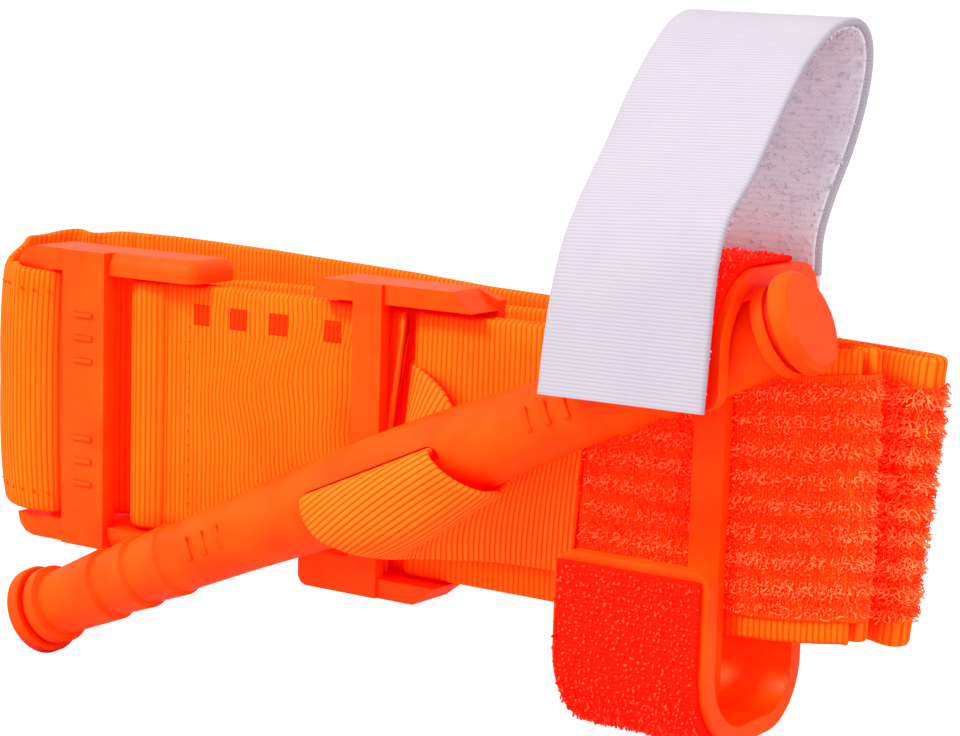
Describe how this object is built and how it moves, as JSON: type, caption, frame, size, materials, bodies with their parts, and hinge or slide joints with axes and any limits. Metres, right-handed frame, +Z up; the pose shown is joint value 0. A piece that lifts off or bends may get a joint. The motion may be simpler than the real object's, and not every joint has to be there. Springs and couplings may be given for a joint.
{
  "type": "tourniquet",
  "caption": "Folded windlass tourniquet: webbing band with loop pile, plate, buckle, two-hook clip, ribbed windlass rod on a ribbon and a white strap.",
  "frame": {"origin": "centre of the bottom of the whole object's box, folded and standing on its long edge", "axes": "+X along the band from the buckle to the clip, +Y from the windlass side to the back, +Z up across the band's width"},
  "size_m": [0.158, 0.0442, 0.0994],
  "materials": {
    "orange_plastic": "satin moulded nylon",
    "orange_webbing": "ribbed nylon webbing",
    "orange_loop_pile": "looped pile",
    "red_hook_tape": "hook tape",
    "white_strap": "ribbed tape",
    "white_loop_pile": "brushed loop",
    "orange_thread": "sewing thread",
    "white_thread": "sewing thread",
    "red_marks": "woven marks",
    "red_tip": "stiffened tip"
  },
  "bodies": {
    "band": {"stabilization_plate": "orange_plastic", "windlass_clip": "orange_plastic", "upper_hook_tape": "red_hook_tape", "lower_hook_tape": "red_hook_tape", "band_front_left": "orange_webbing", "band_front_right": "orange_webbing", "band_rear_layer": "orange_webbing", "band_end_fold": "orange_webbing", "band_turn": "orange_webbing", "band_return_run": "orange_webbing", "tail_wrap": "orange_webbing", "loop_pile_front": "orange_loop_pile", "tail_top_stitching": "orange_thread", "tail_bottom_stitching": "orange_thread", "band_end_stitching": "orange_thread", "strap_root_stitching": "white_thread", "tension_ribbon_left": "orange_webbing", "tension_ribbon_right": "orange_webbing", "strap_root_tab": "white_strap", "woven_squares": "red_marks"},
    "windlass": {"windlass_rod": "orange_plastic", "tension_ribbon_slot": "orange_webbing"},
    "strap": {"windlass_strap": "white_strap", "windlass_strap_lining": "white_loop_pile"},
    "buckle_frame": {"buckle": "orange_plastic"},
    "tail": {"tail_run": "orange_webbing", "tail_turn": "orange_webbing", "tail_stowed_run": "orange_webbing", "tail_tip_tab": "red_tip", "loop_pile_tail": "orange_loop_pile"}
  },
  "joints": [
    {"name": "windlass_turn", "type": "hinge", "parent": "band", "child": "windlass", "pos_m": [0.00949, -0.01117, 0.03491], "axis": [-0.0333, 0.9994, 0], "range_deg": [0, 44]},
    {"name": "strap_peel", "type": "hinge", "parent": "band", "child": "strap", "pos_m": [0.05007, 0.00827, 0.06639], "axis": [-1, 0, 0], "range_deg": [0, 80]},
    {"name": "buckle_tilt", "type": "hinge", "parent": "band", "child": "buckle_frame", "pos_m": [-0.04543, 0.00097, 0.03749], "axis": [0, 0, 1], "range_deg": [-3, 3]},
    {"name": "tail_peel", "type": "hinge", "parent": "band", "child": "tail", "pos_m": [-0.06388, 0.01905, 0.03749], "axis": [0, 0, 1], "range_deg": [0, 60]}
  ]
}
